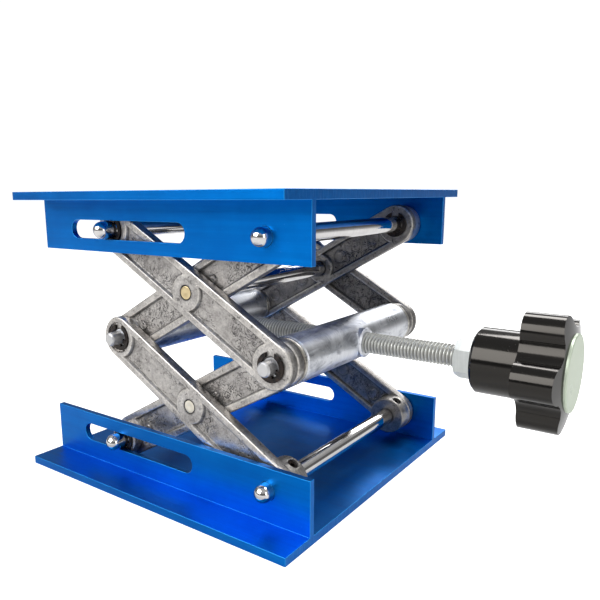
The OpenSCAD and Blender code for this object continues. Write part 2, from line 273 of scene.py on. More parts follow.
def turned_metal(name, color_a, color_b, rough, axis, blotch=0.10, lines=0.5, metallic=1.0, stain=None,
                 tip_y=None):
    """Turned or drawn metal: fine lines round the axis, cloudy sheen, a few scratches, and stains where
    a stain colour is given. Past the distance tip_y from the middle plane it is darker and duller, as on
    a pin's end."""
    s = Shader(name, Metallic=metallic)
    squeeze = [0.06, 0.06, 0.06]
    squeeze[axis] = 1.0
    ring = s.noise(2600, detail=3, rough=0.6, vector=s.place(squeeze))
    cloud = s.noise(130, detail=4, rough=0.6)
    scratch = s.noise(700, detail=1, rough=0.5, vector=s.place((1, 0.08, 1)), distort=0.8)
    scratch = s.span(scratch, 0.69, 0.71)
    tone = s.add(s.span(cloud, 0.3, 0.7, 0.0, 0.7), s.span(ring, 0.4, 0.6, 0.0, 0.3))
    color = s.mix(tone, color_a, color_b)
    dull = s.add(s.span(cloud, 0.35, 0.7, rough, rough + blotch), s.mul(scratch, 0.15))
    if stain:
        spots = s.noise(190, detail=5, rough=0.68, vector=s.place((1, 0.45, 1)), distort=0.5)
        mark = s.span(spots, 0.50, 0.66)
        color = s.mix(s.mul(mark, 0.75), color, stain)
        dull = s.add(dull, s.mul(mark, 0.10))
    if tip_y:
        tip = s.span(s.math("ABSOLUTE", s.axes()[1]), tip_y, tip_y + 0.4 * MM)
        color = s.mix(s.mul(tip, s.span(cloud, 0.3, 0.7, 0.35, 0.75)), color, rgb(182, 179, 175))
        dull = s.add(dull, s.mul(tip, 0.08))
    relief = s.math("SUBTRACT", ring, s.mul(scratch, 0.4))
    return s.finish(color, dull, normal=s.bump(relief, 0.01 * MM, lines))


def threaded_steel(name):
    """Plated screw: bright crests and roots darkened as painted shade, by the distance from the screw's axis.
    """
    s = Shader(name, Metallic=0.80)
    crest = s.span(s.screw_radius(), THREAD_ROOT, THREAD_R - 0.05 * MM)
    cloud = s.noise(350, detail=4, rough=0.6)
    # Painted shade: the colour darkens towards the thread's roots.
    color = s.mix(crest, rgb(150, 150, 146), s.mix(cloud, rgb(200, 201, 196), rgb(228, 228, 224)))
    dull = s.add(s.span(crest, 0, 1, 0.48, 0.38), s.span(cloud, 0.3, 0.7, 0, 0.1))
    return s.finish(color, dull, normal=s.bump(s.noise(3000), 0.01 * MM, 0.5))


def black_plastic(name):
    """Glossy moulded plastic with a faint moulding ripple, dust specks and rubbed patches."""
    s = Shader(name, IOR=1.47, Specular_Tint=(1.0, 0.94, 0.86, 1.0))
    speck = s.span(s.noise(2400, detail=1), 0.74, 0.78)
    color = s.mix(s.mul(speck, 0.4), rgb(5, 5, 6), rgb(60, 58, 56))
    rub = s.span(s.noise(90, detail=5, rough=0.7), 0.45, 0.75)
    dull = s.add(s.span(rub, 0, 1, 0.11, 0.20), s.mul(speck, 0.3))
    grain = s.bump(s.noise(2600, detail=2), 0.008 * MM, 0.4)
    ripple = s.noise(160, detail=2)
    return s.finish(color, dull, normal=s.bump(ripple, 0.06 * MM, 0.35, grain))


def black_oxide(name):
    """Blackened spring steel with brown wear."""
    s = Shader(name, Metallic=0.6)
    wear = s.noise(900, detail=4, rough=0.65)
    color = s.mix(s.span(wear, 0.42, 0.72), rgb(24, 22, 22), rgb(66, 54, 48))
    return s.finish(color, s.span(wear, 0.3, 0.7, 0.26, 0.45), normal=s.bump(wear, 0.02 * MM, 0.6))


def pale_disc(name):
    """Satin foil disc with fine concentric lines."""
    s = Shader(name, Metallic=0.35, Specular_IOR_Level=0.3)
    line_gap = 0.35 * MM
    rings = s.math("SINE", s.mul(s.screw_radius(), 2 * math.pi / line_gap))
    cloud = s.noise(160, detail=4, rough=0.6)
    color = s.mix(cloud, rgb(192, 206, 184), rgb(214, 224, 205))
    dull = s.add(s.span(cloud, 0.3, 0.7, 0.28, 0.40), s.mul(rings, 0.02))
    return s.finish(color, dull, normal=s.bump(s.add(rings, cloud), 0.01 * MM, 0.35))


def floor_white(name):
    """White sweep: as bright as the backdrop to the camera, and a plain pale board to other rays."""
    s = Shader(name, Specular_IOR_Level=0.1, Emission_Color=(1, 1, 1, 1))
    seen = s.node("ShaderNodeLightPath").outputs["Is Camera Ray"]
    s.link(s.span(seen, 0.0, 1.0, 0.16, 0.90), s.bsdf.inputs["Emission Strength"])
    cloud = s.noise(3)
    color = s.mix(cloud, (0.60, 0.60, 0.60, 1), (0.64, 0.64, 0.64, 1))
    return s.finish(color, s.span(cloud, 0.3, 0.7, 0.60, 0.70))


THREAD_ROOT = THREAD_R - 0.62 * MM

BLUE = anodised_blue("anodised_blue", rgb(0, 94, 178), rgb(0, 120, 208), rough=0.34)
# Painted highlight: a lighter blue that the plates' bevelled edges take.
BLUE_EDGE_HIGHLIGHT = anodised_blue("anodised_blue_edge_highlight", rgb(20, 132, 214), rgb(54, 158, 232), rough=0.36)
CAST = cast_metal("cast_arm", rgb(224, 220, 215), rgb(112, 108, 107), rgb(24, 22, 22))
CHROME = turned_metal("chromed_rod", rgb(206, 204, 203), rgb(228, 226, 225), rough=0.05, axis=Y_AXIS,
                      blotch=0.06, lines=0.25)
RIVET = turned_metal("passivated_rivet", rgb(206, 184, 138), rgb(232, 214, 172), rough=0.28, axis=Y_AXIS,
                     blotch=0.12)
STEEL_RIVET = turned_metal("plain_rivet", rgb(214, 207, 190), rgb(240, 234, 220), rough=0.28, axis=Y_AXIS,
                           blotch=0.12)
ZINC = turned_metal("zinc_bar", rgb(204, 207, 213), rgb(238, 240, 244), rough=0.27, axis=Y_AXIS, blotch=0.16,
                    lines=0.8, metallic=0.92, stain=rgb(112, 116, 130), tip_y=OUTER_OUT - 0.8 * MM)
WASHER = turned_metal("washer", rgb(188, 185, 178), rgb(222, 219, 212), rough=0.24, axis=Y_AXIS, blotch=0.12,
                      lines=0.6, stain=rgb(120, 116, 110))
NUT_ZINC = turned_metal("nut_zinc", rgb(184, 188, 186), rgb(208, 211, 209), rough=0.28, axis=X_AXIS,
                        blotch=0.12, lines=0.8, metallic=0.92)
BRASS = turned_metal("brass_bush", rgb(196, 158, 88), rgb(222, 186, 112), rough=0.28, axis=X_AXIS, lines=0.6)
SCREW_STEEL = threaded_steel("screw_steel")
BLACK_CLIP = black_oxide("black_oxide")
KNOB_BLACK = black_plastic("knob_black")
CAP = pale_disc("pale_cap")
FLOOR = floor_white("floor_white")


# ---- Mesh helpers ----

WELD_GAP = 0.002 * MM       # between points of a CAD mesh that are the same point
MERGE_GAP = 0.0005 * MM     # the same in a new mesh
FLAT_ANGLE = 0.6            # degrees between faces that count as one


def shade(data, angle):
    """Smooth faces, with sharp edges where they turn by more than the angle."""
    data.polygons.foreach_set("use_smooth", [True] * len(data.polygons))
    data.set_sharp_from_angle(angle=math.radians(angle))


def mesh_object(name, points, faces, material, angle=30.0):
    data = bpy.data.meshes.new(name)
    data.from_pydata([tuple(p) for p in points], [], [tuple(f) for f in faces])
    data.update()
    shade(data, angle)
    obj = bpy.data.objects.new(name, data)
    bpy.context.scene.collection.objects.link(obj)
    if material:
        data.materials.append(material)
    return obj


def lathe_faces(low, high):
    """Faces between two rings of points, of which either may be a single point on the axis."""
    count = max(len(low), len(high))
    pairs = [(i, (i + 1) % count) for i in range(count)]
    if len(low) == 1:
        return [(low[0], high[i], high[j]) for i, j in pairs]
    if len(high) == 1:
        return [(low[i], high[0], low[j]) for i, j in pairs]
    return [(low[i], high[i], high[j], low[j]) for i, j in pairs]


def lathe(name, at, axis, outline, material, count=96):
    """Closed solid of revolution about the line along axis through at. The outline is a list of (radius,
    distance) that starts and ends on the line, or at the same point for a ring."""
    along, u = UNITS[axis], UNITS[axis + 1]
    v = along.cross(u)
    turns = [2 * math.pi * i / count for i in range(count)]
    ring_shaped = outline[0] == outline[-1]
    points, rings = [], []
    for radius, dist in (outline[:-1] if ring_shaped else outline):
        middle = Vector(at) + along * dist
        on_axis = radius < 1e-9
        made = [middle] if on_axis else [middle + (u * math.cos(a) + v * math.sin(a)) * radius for a in turns]
        rings.append(range(len(points), len(points) + len(made)))
        points += made
    if ring_shaped:
        rings.append(rings[0])
    faces = [face for low, high in zip(rings, rings[1:]) for face in lathe_faces(low, high)]
    obj = mesh_object(name, points, faces, material)
    fix_outwards(obj)
    return obj


def fix_outwards(obj):
    """Turns a closed mesh's faces so that its volume is positive."""
    data = obj.data
    volume = 0.0
    for p in data.polygons:
        vs = [data.vertices[i].co for i in p.vertices]
        for a, b in zip(vs[1:], vs[2:]):
            volume += vs[0].dot(a.cross(b))
    if volume < 0:
        data.flip_normals()


def weld_close(obj, angle):
    """Joins points that fall together, closes what is left open and turns every face outwards."""
    bm = bmesh.new()
    bm.from_mesh(obj.data)
    bmesh.ops.remove_doubles(bm, verts=bm.verts, dist=MERGE_GAP)
    bmesh.ops.dissolve_degenerate(bm, edges=bm.edges, dist=MERGE_GAP)
    bmesh.ops.holes_fill(bm, edges=[e for e in bm.edges if e.is_boundary], sides=0)
    bmesh.ops.recalc_face_normals(bm, faces=bm.faces)
    bm.to_mesh(obj.data)
    bm.free()
    shade(obj.data, angle)


def clean_cad(node, material, bevel, angle=32.0, edge=None):
    """Gives a CAD node its material, and soft edges bevel mm wide, of another material if edge is given.
    Only modifiers and smooth shading are added: its points and faces stay as packed."""
    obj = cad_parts[node]
    obj.data.materials.clear()
    obj.data.materials.append(material)
    if edge:
        obj.data.materials.append(edge)
    obj.data.polygons.foreach_set("use_smooth", [True] * len(obj.data.polygons))
    weld = obj.modifiers.new("weld", "WELD")
    weld.merge_threshold = WELD_GAP
    flat = obj.modifiers.new("dissolve", "DECIMATE")
    flat.decimate_type = "DISSOLVE"
    flat.angle_limit = math.radians(FLAT_ANGLE)
    soft = obj.modifiers.new("bevel", "BEVEL")
    soft.limit_method = "ANGLE"
    soft.angle_limit = math.radians(angle)
    soft.width = bevel * MM
    soft.segments = 2
    soft.use_clamp_overlap = True
    if edge:
        soft.material = 1
    obj.modifiers.new("normals", "WEIGHTED_NORMAL").keep_sharp = True


# ---- Arms ----

ARM_R = 6.25 * MM
END_BOSS = 6.0 * MM             # radius of the disc round each end's hole, where no pocket reaches
MID_BOSS = 5.0 * MM             # the same round the middle hole
EDGE_ROUND = 0.45 * MM
POCKET_HALF = 4.2 * MM          # half of a pocket's width
POCKET_DEPTH = 0.85 * MM
ROD_HOLE = 2.5 * MM             # a rod is fixed in it
RUN_HOLE = 2.55 * MM            # a rod or a bar's pin turns in it
RIVET_HOLE = 2.0 * MM
HOLE_SINK = 0.20 * MM           # how far the edge of a run or rivet hole is let in
SEAM = 0.02 * MM                # a point this close outside a hole or a boss belongs to it
GRUB_R = 1.5 * MM
GRUB_HOLE_R = 1.52 * MM
GRUB_START = 1.0 * MM           # the tapped hole's start, from the rod's axis
GRUB_LENGTH = 9 * MM
ARM_SHARP = 38.0                # degrees
HOLES = (0.0, ARM_L / 2, ARM_L)
OUTSIDE, INSIDE = 1, -1

# A pocket's wall in mm inside its edge: soft lip, drafted wall and fillet, as (from, to, share of the depth)
WALL = ((-0.14, 0.0, 0.06), (-0.02, 0.30, 0.70), (0.24, 0.55, 0.24))
# Casting waves of the faces: cells per mm and height in mm
WAVES = ((0.16, 0.05), (0.55, 0.022))
SKIN = (1.3, 0.014)
# An ejector mark's edge, and the two walls of the groove inside it, in mm inwards
MARK_EDGE = (0.0, 0.16)
MARK_GROOVE = ((0.22, 0.34), (0.5, 0.62))
MARK_GROOVE_DEPTH = 0.10 * MM

# Insets in mm at which the mesh has a line of points
EDGE_STEPS = (0.0, 0.05, 0.15, 0.30, 0.45)
WALL_STEPS = (-0.14, 0.0, 0.26, 0.40, 0.55)
HOLE_STEPS = (0.0, -0.14, -0.26, -0.45)
BOSS_STEPS = (0.45, 0.2, 0.05, -0.03)
MARK_STEPS = (0.0, 0.16, 0.34, 0.5, 0.62)
RECESS_STEPS = (0.0, -0.05)
GRID = 0.8 * MM                 # between the points that fill the rest
JITTER = 0.1                    # mm


def ejector_marks(end_gap, mid_gap, radius, up):
    """A mark near each end of both pockets: its place along the arm, radius and height, all given in mm."""
    end, mid = END_BOSS + end_gap * MM, MID_BOSS + mid_gap * MM
    places = (end, ARM_L / 2 - mid, ARM_L / 2 + mid, ARM_L - end)
    return [(place, radius * MM, up * MM) for place in places]


PADS = ejector_marks(2.3, 2.6, 1.4, 0.34)
DISCS = ejector_marks(3.6, 4.2, 2.3, 0.10)


def arm_outline(radius, step):
    """The arm's outline with ends of this radius, with points about a step apart."""
    along = max(8, int(ARM_L / step))
    around = max(12, int(math.pi * radius / (step * 0.6)))
    turns = [math.pi * i / around for i in range(around)]
    low = [(ARM_L * i / along, -radius) for i in range(along)]
    far = [(ARM_L + radius * math.sin(a), -radius * math.cos(a)) for a in turns]
    high = [(ARM_L - ARM_L * i / along, radius) for i in range(along)]
    near = [(-radius * math.sin(a), radius * math.cos(a)) for a in turns]
    return low + far + high + near


def circle(s, radius, count):
    turns = [2 * math.pi * i / count for i in range(count)]
    return [(s + radius * math.cos(a), radius * math.sin(a)) for a in turns]


def pocket_outline(first, inset, step):
    """The edge, moved inwards, of the pocket after HOLES[first]."""
    half = POCKET_HALF - inset
    radii = (END_BOSS + inset, MID_BOSS + inset)
    left_c, right_c = HOLES[first], HOLES[first + 1]
    left_r, right_r = radii[first], radii[1 - first]
    n = 22
    ts = [half * math.sin(math.pi / 2 * (2 * i / n - 1)) for i in range(n + 1)]
    left = [(left_c + math.sqrt(left_r ** 2 - t * t), t) for t in reversed(ts)]
    right = [(right_c - math.sqrt(right_r ** 2 - t * t), t) for t in ts]
    m = max(4, int((right[0][0] - left[-1][0]) / step))
    low = [(left[-1][0] + (right[0][0] - left[-1][0]) * i / m, -half) for i in range(1, m)]
    high = [(right[-1][0] + (left[0][0] - right[-1][0]) * i / m, half) for i in range(1, m)]
    return left + low + right + high


def pocket_inset(s, t):
    """How far a point is inside a pocket's edge; negative outside."""
    from_holes = [math.hypot(s - at, t) - clear for at, clear in zip(HOLES, (END_BOSS, MID_BOSS, END_BOSS))]
    return min(POCKET_HALF - abs(t), *from_holes)


def outline_inset(s, t):
    """How far a point is inside the arm's outline."""
    near = min(max(s, 0.0), ARM_L)
    return ARM_R - math.hypot(s - near, t)


def edge_drop(inset):
    """How far the rounded edge lies below the face at this inset."""
    lip = max(0.0, EDGE_ROUND - max(inset, 0.0))
    return EDGE_ROUND - math.sqrt(max(0.0, EDGE_ROUND ** 2 - lip ** 2))


def rise(x, a, b):
    """Smooth step from 0 at a to 1 at b."""
    x = min(1.0, max(0.0, (x - a) / (b - a)))
    return x * x * (3 - 2 * x)


def bell(x, width):
    return math.exp(-(x / width) ** 2)


class Arm:
    """One arm in its own frame: s along it, t across, h from its inner face (0) to its outer face (ARM_T).
    Bores are (s, radius), bosses (s, radius, height, side), and the recess of a clip (s, radius, depth)."""

    def __init__(self, seed, bores, bosses, marks, recess=None, grub=False):
        self.seed, self.bores, self.bosses, self.recess, self.grub = seed, bores, bosses, recess, grub
        self.marks = marks      # {side: ejector marks}

    def casting_waves(self, s, t, side):
        q = Vector((s / MM, t / MM, self.seed + 7.0 * side))
        floor = rise(pocket_inset(s, t) / MM, 0.2, 0.6)
        wave = sum(noise.noise(q * cells) * height for cells, height in WAVES)
        skin = noise.noise(q * SKIN[0]) * SKIN[1]
        return (wave * (0.35 + 0.9 * floor) + skin * (0.5 + floor)) * MM

    def mark_height(self, s, t, side):
        height = 0.0
        for at, radius, up in self.marks.get(side, ()):
            inset = (radius - math.hypot(s - at, t)) / MM
            into_groove, out_of_it = (rise(inset, a, b) for a, b in MARK_GROOVE)
            height += up * rise(inset, *MARK_EDGE) - MARK_GROOVE_DEPTH * (into_groove - out_of_it)
        return height

    def face_height(self, s, t, side):
        """Distance of the face from the arm's middle plane at (s, t)."""
        top = ARM_T / 2
        for at, radius, height, where in self.bosses:
            inset = radius - math.hypot(s - at, t)
            if where == side and inset > -SEAM:
                return top + height - edge_drop(inset)
        inset = pocket_inset(s, t) / MM
        face = top - POCKET_DEPTH * sum(share * rise(inset, a, b) for a, b, share in WALL)
        face += self.casting_waves(s, t, side) + self.mark_height(s, t, side)
        if outline_inset(s, t) < EDGE_ROUND:
            face = min(face, top - edge_drop(outline_inset(s, t)))
        if self.recess and side == OUTSIDE:
            at, radius, depth = self.recess
            if math.hypot(s - at, t) < radius:
                face = top - depth
        for at, radius in self.bores:
            if radius != ROD_HOLE and math.hypot(s - at, t) < radius + SEAM:
                face -= HOLE_SINK
        return face

    def outlines(self):
        """Closed lines that the flat mesh follows."""
        lines = [arm_outline(ARM_R - inset * MM, 0.9 * MM) for inset in EDGE_STEPS]
        lines += [pocket_outline(first, inset * MM, GRID) for first in (0, 1) for inset in WALL_STEPS]
        rings = [(at, radius, HOLE_STEPS, 48) for at, radius in self.bores]
        rings += [(at, radius, BOSS_STEPS, 72) for at, radius, _, _ in self.bosses]
        if self.recess:
            rings.append((self.recess[0], self.recess[1], RECESS_STEPS, 64))
        rings += [(at, radius, MARK_STEPS, 32) for marks in self.marks.values() for at, radius, _ in marks]
        for at, radius, steps, count in rings:
            lines += [circle(at, radius - inset * MM, count) for inset in steps]
        return lines

    def filling(self):
        """Loose points on a jittered grid, clear of the outlines of the arm and its pockets."""
        jitter = random.Random(self.seed)
        points = []
        for i in range(int((ARM_L + 2 * ARM_R) / GRID)):
            for j in range(int(2 * ARM_R / GRID) + 1):
                s = -ARM_R + (i + 0.5 * (j % 2)) * GRID + jitter.uniform(-JITTER, JITTER) * MM
                t = -ARM_R + j * GRID + jitter.uniform(-JITTER, JITTER) * MM
                wall_gap = min(abs(pocket_inset(s, t) / MM - step) for step in WALL_STEPS)
                if outline_inset(s, t) >= 0.6 * MM and wall_gap >= 0.12:
                    points.append((s, t))
        return points

    def flat_mesh(self):
        """The arm seen from the side, as points (s, t) and triangles, without its bores."""
        points, edges = [], []
        for line in self.outlines():
            first = len(points)
            points += line
            edges += [(first + i, first + (i + 1) % len(line)) for i in range(len(line))]
        points += self.filling()
        scaled = [Vector((s / MM, t / MM)) for s, t in points]
        verts, _, faces, _, _, _ = delaunay_2d_cdt(scaled, edges, [], 1, 1e-4)
        flat = [(v.x * MM, v.y * MM) for v in verts]
        kept = []
        for face in faces:
            mid_s, mid_t = (sum(flat[i][k] for i in face) / len(face) for k in (0, 1))
            if all(math.hypot(mid_s - at, mid_t) > radius for at, radius in self.bores):
                kept.append(tuple(face))
        used = sorted({i for face in kept for i in face})
        index = {old: new for new, old in enumerate(used)}
        return [flat[i] for i in used], [tuple(index[i] for i in face) for face in kept]

    def build(self):
        """Closed mesh: the outer face, the inner face, and the walls along every edge that has one face."""
        flat, faces = self.flat_mesh()
        n = len(flat)
        points = [(s, t, ARM_T / 2 + self.face_height(s, t, OUTSIDE)) for s, t in flat]
        points += [(s, t, ARM_T / 2 - self.face_height(s, t, INSIDE)) for s, t in flat]
        edges = dict.fromkeys(edge for face in faces for edge in zip(face, face[1:] + face[:1]))
        inner = [tuple(i + n for i in reversed(face)) for face in faces]
        walls = [(b, a, a + n, b + n) for a, b in edges if (b, a) not in edges]
        return points, faces + inner + walls

    def paint(self, obj, to_local):
        """Per-vertex masks for the material: pocket floor, painted shade on the inner face, dirt and painted
        shade along walls and round bores and marks, worn rims.
        """
        masks = {"pocket": [], "grime_and_shade": [], "worn": [], "inside": []}
        for v in obj.data.vertices:
            s, t, h = to_local(v.co)
            inset = pocket_inset(s, t) / MM
            up = abs(h - ARM_T / 2) / (ARM_T / 2)       # 1 at the faces, more on a boss
            marks = self.marks.get(OUTSIDE if h > ARM_T / 2 else INSIDE, ())
            # Dirt and painted shade: a dark band at the foot of the pocket walls, and rings round the bores
            # and the marks.
            grime_and_shade = [bell(inset - 0.36, 0.20) if up < 1.02 else 0.0]
            for at, radius in self.bores:
                grime_and_shade.append(bell((math.hypot(s - at, t) - radius) / MM, 0.34))
            for at, radius, _ in marks:
                grime_and_shade.append(0.7 * bell((math.hypot(s - at, t) - radius) / MM - 0.08, 0.17))
            rims = bell(outline_inset(s, t) / MM - 0.30, 0.16) + 0.8 * bell(inset + 0.16, 0.14)
            masks["pocket"].append(rise(inset, 0.2, 0.8))
            masks["grime_and_shade"].append(max(grime_and_shade))
            masks["worn"].append(min(1.0, rims) if 0.75 < up < 1.9 else 0.0)
            # Painted shade: marks the inner face, which the material darkens.
            masks["inside"].append(1.0 if h < 0.6 * ARM_T else 0.0)
        for name, values in masks.items():
            layer = obj.data.attributes.new(name, "FLOAT", "POINT")
            layer.data.foreach_set("value", values)


def make_arms(kind, arm, at, angle, inner_y):
    """The front and the rear arm of a kind. Their first hole is on the line through at, and they point at an
    angle from +X to +Z. The kind is also the name of their body."""
    points, faces = arm.build()
    c, s = math.cos(angle), math.sin(angle)
    for side, word in ((-1, "front"), (1, "rear")):
        placed = [(at.x + p[0] * c - p[1] * s, side * (inner_y + p[2]), at.z + p[0] * s + p[1] * c)
                  for p in points]
        turned = faces if side == -1 else [tuple(reversed(face)) for face in faces]
        obj = mesh_object(f"cast_arm_{kind}_{word}", placed, turned, CAST, ARM_SHARP)
        if arm.grub:
            drill(obj, side)

        def to_local(co, side=side):
            dx, dz = co.x - at.x, co.z - at.z
            return dx * c + dz * s, -dx * s + dz * c, side * co.y - inner_y

        arm.paint(obj, to_local)
        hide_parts(f"{kind}_arm_{word}")
        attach(obj, kind)


def drill(obj, side):
    """Cuts the tapped hole of the grub screw, which points at the base's pivot rod."""
    low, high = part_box("base_pivot_grub_screws")
    middle = (low + high) / 2
    away = Vector((middle.x - BASE_PIVOT.x, 0.0, middle.z - BASE_PIVOT.z)).normalized()
    start = Vector((BASE_PIVOT.x, side * (high.y - GRUB_R), BASE_PIVOT.z)) + away * GRUB_START
    outline = [(0, 0), (GRUB_HOLE_R, 0), (GRUB_HOLE_R, GRUB_LENGTH), (0, GRUB_LENGTH)]
    tool = lathe("drill_tool", (0, 0, 0), Y_AXIS, outline, None, 40)
    tool.matrix_world = Matrix.Translation(start) @ away.to_track_quat("Y", "Z").to_matrix().to_4x4()
    cut = obj.modifiers.new("drill", "BOOLEAN")
    cut.operation, cut.object, cut.solver = "DIFFERENCE", tool, "EXACT"
    bpy.context.view_layer.update()
    done = bpy.data.meshes.new_from_object(obj.evaluated_get(bpy.context.evaluated_depsgraph_get()))
    obj.modifiers.clear()
    obj.data = done
    bpy.data.objects.remove(tool)
    weld_close(obj, ARM_SHARP)


def boss(node, side, radius):
    """The raised boss round a node's first hole, from the plain arm's face out to the node's box."""
    low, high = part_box(node)
    inner = OUTER_IN if "outer" in node else INNER_IN
    height = high.y - (inner + ARM_T) if side == OUTSIDE else inner - low.y
    return 0.0, radius, height, side


OUTER_BORES = list(zip(HOLES, (ROD_HOLE, RIVET_HOLE, RUN_HOLE)))
INNER_BORES = list(zip(HOLES, (ROD_HOLE, RUN_HOLE, RUN_HOLE)))
OUTER_MARKS = {INSIDE: DISCS}
INNER_MARKS = {OUTSIDE: PADS, INSIDE: DISCS}
CLIP_RECESS = (ARM_L, 4.7 * MM, 0.8 * MM)

LOWER_OUTER_BOSSES = [boss("lower_outer_arm_rear", INSIDE, 6.0 * MM),
                      boss("lower_outer_arm_rear", OUTSIDE, 4.5 * MM)]
LOWER_INNER_BOSSES = [boss("lower_inner_arm_rear", OUTSIDE, 5.0 * MM)]
UPPER_INNER_BOSSES = [boss("upper_inner_arm_rear", OUTSIDE, 6.0 * MM)]

make_arms("lower_outer", Arm(11, OUTER_BORES, LOWER_OUTER_BOSSES, OUTER_MARKS, CLIP_RECESS, grub=True),
          BASE_PIVOT, math.pi - TILT, OUTER_IN)
make_arms("lower_inner", Arm(23, INNER_BORES, LOWER_INNER_BOSSES, INNER_MARKS),
          BASE_SLIDE, TILT, INNER_IN)
make_arms("upper_outer", Arm(37, OUTER_BORES, [], OUTER_MARKS),
          TOP_SLIDE, -TILT, OUTER_IN)
make_arms("upper_inner", Arm(51, INNER_BORES, UPPER_INNER_BOSSES, INNER_MARKS),
          TOP_PIVOT, math.pi + TILT, INNER_IN)


# ---- Platforms ----

for plate in ("base_plate", "top_plate"):
    # The bevels take the lighter blue: a painted highlight along the plates' edges.
    clean_cad(plate, BLUE, 0.22, 40.0, BLUE_EDGE_HIGHLIGHT)


# ---- Rods, rivets and clips ----

ROD_R = 2.5 * MM
DOME_H = 2.3 * MM
CLIP_GROOVE_W = 0.52 * MM
CLIP_GROOVE_DEPTH = 0.4 * MM
CLIP_GROOVE_LIP = 0.05 * MM
SHOULDER_GAP = 0.05 * MM        # between a riveted rod's shoulder and the arm
SHOULDER_EDGE = 0.1 * MM
# A rivet's end, as (radius, distance below its tip) in mm: rounded rim, flat crown and a shallow punch mark
RIVET_HEAD = ((2.0, 0.40), (1.93, 0.22), (1.80, 0.08), (1.6, 0.02), (1.2, 0.0),
              (0.55, 0.01), (0.3, 0.08), (0.0, 0.1))
RIVET_GAP_SHADE_R = 1.72 * MM           # outside this radius the rivet's rim is black: painted shade of the gap round it
CLIP_BEHIND_ARM = 0.5 * MM      # how far inwards from the inner arms the top pivot's clips sit


def dome(radius, start, height, steps=9):
    """A cap of a sphere, from its rim to its tip."""
    sphere = (radius ** 2 + height ** 2) / (2 * height)
    rim = math.asin(radius / sphere)
    turns = [rim * (1 - i / steps) for i in range(steps + 1)]
    return [(sphere * math.sin(a), start + height - sphere + sphere * math.cos(a)) for a in turns]


def mirrored(half):
    """Outline of half a rod, from the middle plane outwards, to the whole outline."""
    return [(r, -y) for r, y in reversed(half)] + half


def rod_outline(node, groove_y):
    """A rod with domed ends and, where groove_y is given, a clip's groove that starts there on each side."""
    low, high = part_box(node)
    radius = (high.z - low.z) / 2
    half = []
    if groove_y:
        floor_r = radius - CLIP_GROOVE_DEPTH
        lip_r = radius - CLIP_GROOVE_LIP
        far_y = groove_y + CLIP_GROOVE_W
        half = [(radius, groove_y - CLIP_GROOVE_LIP), (lip_r, groove_y), (floor_r, groove_y),
                (floor_r, far_y), (lip_r, far_y), (radius, far_y + CLIP_GROOVE_LIP)]
    return mirrored(half + dome(radius, high.y - DOME_H, DOME_H))


def rivet_outline(node):
    """A rod with a shoulder at each outer arm, and a thinner riveted end through it."""
    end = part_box(node)[1].y
    shoulder = OUTER_IN - SHOULDER_GAP
    rivet_r = RIVET_HEAD[0][0] * MM
    half = [(ROD_R, shoulder - SHOULDER_EDGE), (ROD_R - SHOULDER_EDGE, shoulder), (rivet_r, shoulder)]
    return mirrored(half + [(r * MM, end - below * MM) for r, below in RIVET_HEAD])


def add_piece(piece, node, body):
    """The piece stands for a CAD node, which it hides, and rides on the body."""
    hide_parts(node)
    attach(piece, body)


for node, groove_y, body in (("base_pivot_rod", None, "lower_outer"),
                             ("base_slide_rod", OUTER_OUT, "lower_inner"),
                             ("top_slide_rod", OUTER_OUT, "upper_outer"),
                             ("top_pivot_rod", INNER_IN - CLIP_BEHIND_ARM, "upper_inner")):
    rod = lathe("polished_" + node, centre(node), Y_AXIS, rod_outline(node, groove_y), CHROME)
    add_piece(rod, node, body)

for node, end_metal, slot, body in (("lower_centre_rod", STEEL_RIVET, "chromed_steel", "lower_outer"),
                                    ("upper_centre_rod", RIVET, "brassy_steel", "upper_outer")):
    axis = centre(node)
    rod = lathe("riveted_" + node, axis, Y_AXIS, rivet_outline(node), CHROME)
    rod.data.materials.append(end_metal)
    # The rivet's rim takes the black oxide finish as painted shade of the gap round the rivet.
    rod.data.materials.append(BLACK_CLIP)
    for face in rod.data.polygons:
        if abs(face.center.y) > OUTER_IN:
            from_axis = math.hypot(face.center.x - axis.x, face.center.z - axis.z)
            face.material_index = 2 if from_axis > RIVET_GAP_SHADE_R else 1
    add_piece(rod, node, body)

for node in ("base_slide_clips", "top_slide_clips", "top_pivot_clips", "anchor_bar_clips", "nut_bar_clips",
             "screw_lock_ring"):
    clean_cad(node, BLACK_CLIP, 0.07)
clean_cad("base_pivot_grub_screws", BLACK_CLIP, 0.05)


# ---- Cross bars and their washers ----

WASHER_BORE = 2.56 * MM
WASHER_T = 0.9 * MM
WASHER_EDGE = 0.22 * MM         # size of the rounded edge
WASHER_CORNER = 0.06 * MM       # how far the rounding's middle point is from the corner


def washer_outline(radius, y0, y1):
    near = [(WASHER_BORE, y0), (radius - WASHER_EDGE, y0), (radius - WASHER_CORNER, y0 + WASHER_CORNER),
            (radius, y0 + WASHER_EDGE)]
    far = [(WASHER_BORE, y1), (radius - WASHER_EDGE, y1), (radius - WASHER_CORNER, y1 - WASHER_CORNER),
           (radius, y1 - WASHER_EDGE)]
    return near + far[::-1] + near[:1]


for bar in ("anchor_bar", "nut_bar"):
    clean_cad(bar, ZINC, 0.12)

for body in ("anchor_bar", "nut_bar"):
    node = body + "_washers"
    low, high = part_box(node)
    outline = washer_outline((high.z - low.z) / 2, high.y - WASHER_T, high.y)
    pair = [lathe(f"{body}_washer_{word}", centre(node), Y_AXIS, [(r, side * y) for r, y in outline], WASHER)
            for side, word in ((-1, "front"), (1, "rear"))]
    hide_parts(node)
    for washer in pair:
        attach(washer, body)
clean_cad("screw_thrust_washer", WASHER, 0.08)


# ---- Screw, nut and knob ----

PITCH = 1.0 * MM
THREAD_TOP = THREAD_R - 0.02 * MM
